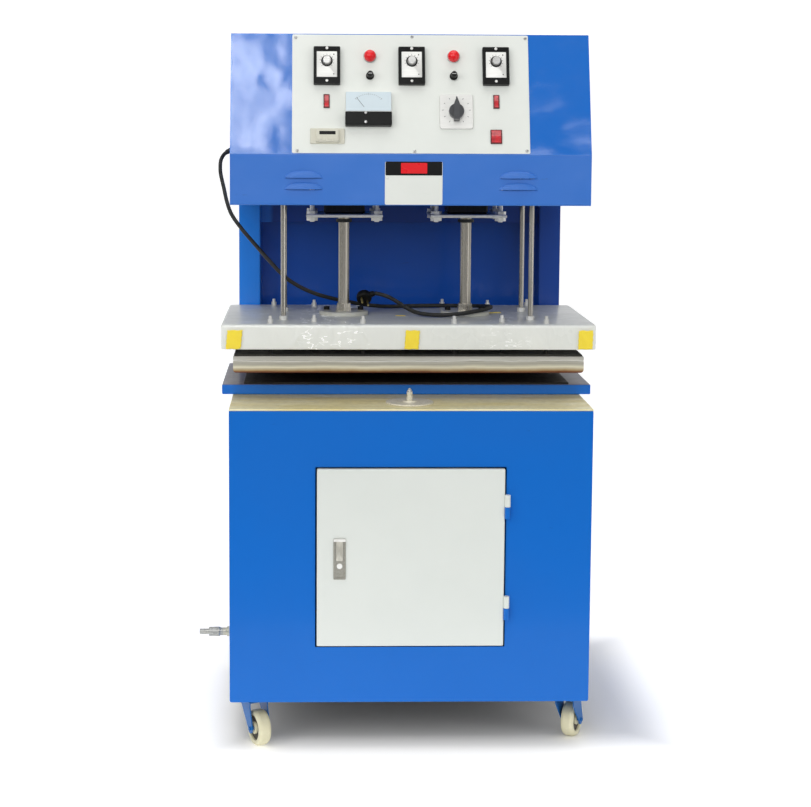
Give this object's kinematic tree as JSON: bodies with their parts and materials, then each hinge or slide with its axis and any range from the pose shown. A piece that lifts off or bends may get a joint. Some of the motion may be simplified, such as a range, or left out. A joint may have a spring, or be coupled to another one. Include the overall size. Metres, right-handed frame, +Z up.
{
  "type": "blister packing machine",
  "caption": "Floor-standing blister sealing press: sheet cabinet on casters, flat bed with pad, heated platen lifted by air cylinders, sloped control panel.",
  "frame": {"origin": "middle of the machine's box on the floor, measured without the cord", "axes": "+X to the right seen from the front, +Y from front to back, +Z up"},
  "size_m": [0.8594, 0.7124, 1.514],
  "materials": {
    "blue_paint": "gloss enamel over sheet steel, light orange peel",
    "deep_blue_paint": "gloss enamel in shade",
    "white_paint": "satin off-white powder coat",
    "panel_plate": "satin off-white plate",
    "gold_plate": "yellow passivated zinc on steel",
    "zinc": "bright zinc plated steel",
    "chrome": "hard chromed and ground",
    "brass": "turned brass, some nickel",
    "aluminium": "rolled and heat stained plate",
    "insulation": "dark pressed insulation board",
    "black_rubber": "matt black rubber",
    "black_plastic": "moulded black plastic",
    "red_plastic": "clear red moulding",
    "beige_plastic": "moulded beige plastic",
    "cream_wheel": "cream polyurethane"
  },
  "bodies": {
    "frame": {"cabinet_front_left": "blue_paint", "cabinet_front_right": "blue_paint", "cabinet_front_top": "blue_paint", "cabinet_front_bottom": "blue_paint", "cabinet_left_side": "blue_paint", "cabinet_right_side": "blue_paint", "cabinet_back": "blue_paint", "cabinet_floor": "blue_paint", "worktop": "gold_plate", "pivot_flange": "gold_plate", "bed_tray": "blue_paint", "bed_pad": "black_rubber", "column_frame": "blue_paint", "column_back_panel": "deep_blue_paint", "rear_cover": "blue_paint", "head_fascia": "blue_paint", "upper_left_side": "blue_paint", "upper_right_side": "blue_paint", "head_top": "blue_paint", "head_front_bar": "deep_blue_paint", "head_rear_bar": "deep_blue_paint", "left_clamp_plate": "zinc", "right_clamp_plate": "zinc", "left_cylinder": "aluminium", "right_cylinder": "aluminium", "upper_hinge": "blue_paint", "lower_hinge": "blue_paint", "control_panel": "panel_plate", "meter": "black_plastic", "counter": "beige_plastic", "air_inlet": "brass", "cord_gland": "black_plastic", "cord_hanging": "black_rubber"},
    "platen": {"heater_lower": "aluminium", "heater_upper": "aluminium", "insulation_board": "insulation", "hood": "white_paint", "left_piston_rod": "chrome", "right_piston_rod": "chrome", "front_left_guide_rod": "zinc", "front_right_guide_rod": "zinc", "rear_left_guide_rod": "zinc", "rear_right_guide_rod": "zinc", "cord_lying": "black_rubber", "plug": "black_plastic"},
    "door": {"door": "white_paint", "door_lock": "zinc"},
    "front_left_caster": {"front_left_fork": "blue_paint"},
    "front_left_caster_wheel": {"front_left_wheel": "cream_wheel"},
    "front_right_caster": {"front_right_fork": "blue_paint"},
    "front_right_caster_wheel": {"front_right_wheel": "cream_wheel"},
    "rear_left_caster": {"rear_left_fork": "blue_paint"},
    "rear_left_caster_wheel": {"rear_left_wheel": "cream_wheel"},
    "rear_right_caster": {"rear_right_fork": "blue_paint"},
    "rear_right_caster_wheel": {"rear_right_wheel": "cream_wheel"},
    "left_timer_dial": {"left_dial": "aluminium"},
    "middle_timer_dial": {"middle_dial": "aluminium"},
    "right_timer_dial": {"right_dial": "aluminium"},
    "selector": {"selector_knob": "black_plastic"}
  },
  "joints": [
    {"name": "door_swing", "type": "hinge", "parent": "frame", "child": "door", "pos_m": [0.22785, -0.35015, 0.3125], "axis": [0, 0, 1], "range_deg": [0, 110]},
    {"name": "platen_lift", "type": "slide", "parent": "frame", "child": "platen", "axis": [0, 0, 1], "range_m": [0, 0.12], "deforming": ["cord_hanging"]},
    {"name": "front_left_swivel", "type": "hinge", "parent": "frame", "child": "front_left_caster", "pos_m": [-0.30535, -0.27185, 0.0935], "axis": [0, 0, 1], "continuous": true},
    {"name": "front_left_roll", "type": "hinge", "parent": "front_left_caster", "child": "front_left_caster_wheel", "pos_m": [-0.29352, -0.29723, 0.038], "axis": [0.9063, 0.4226, 0], "continuous": true},
    {"name": "front_right_swivel", "type": "hinge", "parent": "frame", "child": "front_right_caster", "pos_m": [0.37265, -0.27185, 0.0935], "axis": [0, 0, 1], "continuous": true},
    {"name": "front_right_roll", "type": "hinge", "parent": "front_right_caster", "child": "front_right_caster_wheel", "pos_m": [0.3858, -0.24713, 0.038], "axis": [-0.8829, 0.4695, 0], "continuous": true},
    {"name": "rear_left_swivel", "type": "hinge", "parent": "frame", "child": "rear_left_caster", "pos_m": [-0.30535, 0.28415, 0.0935], "axis": [0, 0, 1], "continuous": true},
    {"name": "rear_left_roll", "type": "hinge", "parent": "rear_left_caster", "child": "rear_left_caster_wheel", "pos_m": [-0.33166, 0.27457, 0.038], "axis": [0.342, -0.9397, 0], "continuous": true},
    {"name": "rear_right_swivel", "type": "hinge", "parent": "frame", "child": "rear_right_caster", "pos_m": [0.37265, 0.28415, 0.0935], "axis": [0, 0, 1], "continuous": true},
    {"name": "rear_right_roll", "type": "hinge", "parent": "rear_right_caster", "child": "rear_right_caster_wheel", "pos_m": [0.3799, 0.3112, 0.038], "axis": [-0.9659, 0.2588, 0], "continuous": true},
    {"name": "left_dial_turn", "type": "hinge", "parent": "frame", "child": "left_timer_dial", "pos_m": [-0.15135, -0.21596, 1.45612], "axis": [0, -0.9577, 0.2877], "range_deg": [-150, 150]},
    {"name": "middle_dial_turn", "type": "hinge", "parent": "frame", "child": "middle_timer_dial", "pos_m": [0.02765, -0.21596, 1.45612], "axis": [0, -0.9577, 0.2877], "range_deg": [-150, 150]},
    {"name": "right_dial_turn", "type": "hinge", "parent": "frame", "child": "right_timer_dial", "pos_m": [0.20565, -0.21596, 1.45612], "axis": [0, -0.9577, 0.2877], "range_deg": [-150, 150]},
    {"name": "selector_turn", "type": "hinge", "parent": "frame", "child": "selector", "pos_m": [0.12095, -0.24033, 1.35067], "axis": [0, -0.9577, 0.2877], "range_deg": [-90, 90]}
  ]
}
